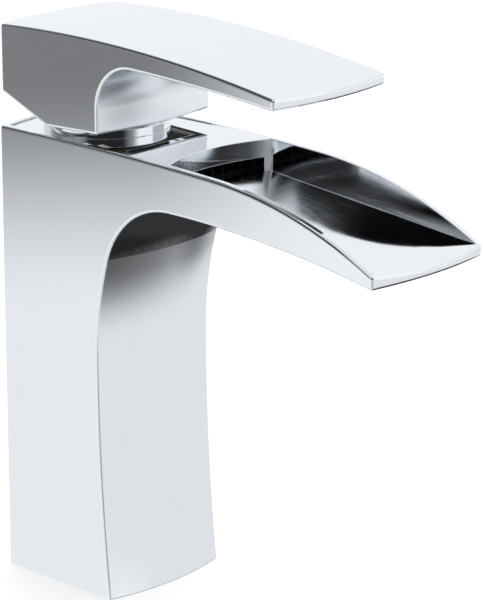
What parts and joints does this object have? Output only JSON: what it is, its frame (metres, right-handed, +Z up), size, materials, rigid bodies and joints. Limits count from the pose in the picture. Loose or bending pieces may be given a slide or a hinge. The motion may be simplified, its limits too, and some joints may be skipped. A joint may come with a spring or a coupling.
{
  "type": "waterfall basin faucet",
  "caption": "Single-lever waterfall basin faucet with bowed ends, an open trough spout and a flat paddle handle over a ceramic-disc cartridge.",
  "frame": {"origin": "mouth of the stud thread, in the middle of the foot on the axis of the cartridge, at the level of the deck that the faucet stands on", "axes": "+X along the spout towards the basin, +Y to the left of someone looking along +X, +Z up the cartridge axis"},
  "size_m": [0.1471, 0.046, 0.1672],
  "materials": {
    "chrome_body": "polished",
    "chrome_handle": "polished",
    "bare_brass": "machined",
    "pin_steel": "machined",
    "black_rubber": "matt",
    "black_plastic": "matt",
    "white_plastic": "moulded",
    "red_plastic": "moulded",
    "disc_ceramic": "lapped"
  },
  "bodies": {
    "casting": {"faucet_body": "chrome_body", "base_gasket": "black_rubber", "flow_straightener": "black_plastic", "cartridge_base": "white_plastic", "port_seals": "black_rubber", "disc_seals": "black_rubber", "fixed_disc": "disc_ceramic", "cartridge_housing": "white_plastic", "housing_o_ring": "black_rubber", "retaining_nut": "bare_brass", "limit_ring": "red_plastic", "dome_collar": "chrome_body", "collar_o_ring": "black_rubber"},
    "carriage": {"spindle_carriage": "white_plastic", "pivot_pin": "pin_steel"},
    "slider": {"moving_disc": "disc_ceramic", "disc_carrier": "white_plastic"},
    "lever": {"lever_stem": "bare_brass", "handle": "chrome_handle", "stem_bush": "black_plastic", "grub_screw": "pin_steel", "screw_plug": "chrome_handle"}
  },
  "joints": [
    {"name": "temperature_turn", "type": "hinge", "parent": "casting", "child": "carriage", "pos_m": [0, 0, 0.132], "axis": [0, 0, 1], "range_deg": [-50, 50]},
    {"name": "flow_lift", "type": "hinge", "parent": "carriage", "child": "lever", "pos_m": [0, 0, 0.132], "axis": [0, -1, 0], "range_deg": [0, 25]},
    {"name": "disc_slide", "type": "slide", "parent": "carriage", "child": "slider", "axis": [1, 0, 0], "range_m": [0, 0.0043]}
  ],
  "couplings": [
    {"joint": "disc_slide", "follows": "flow_lift", "m_per_rad": 0.009686}
  ]
}
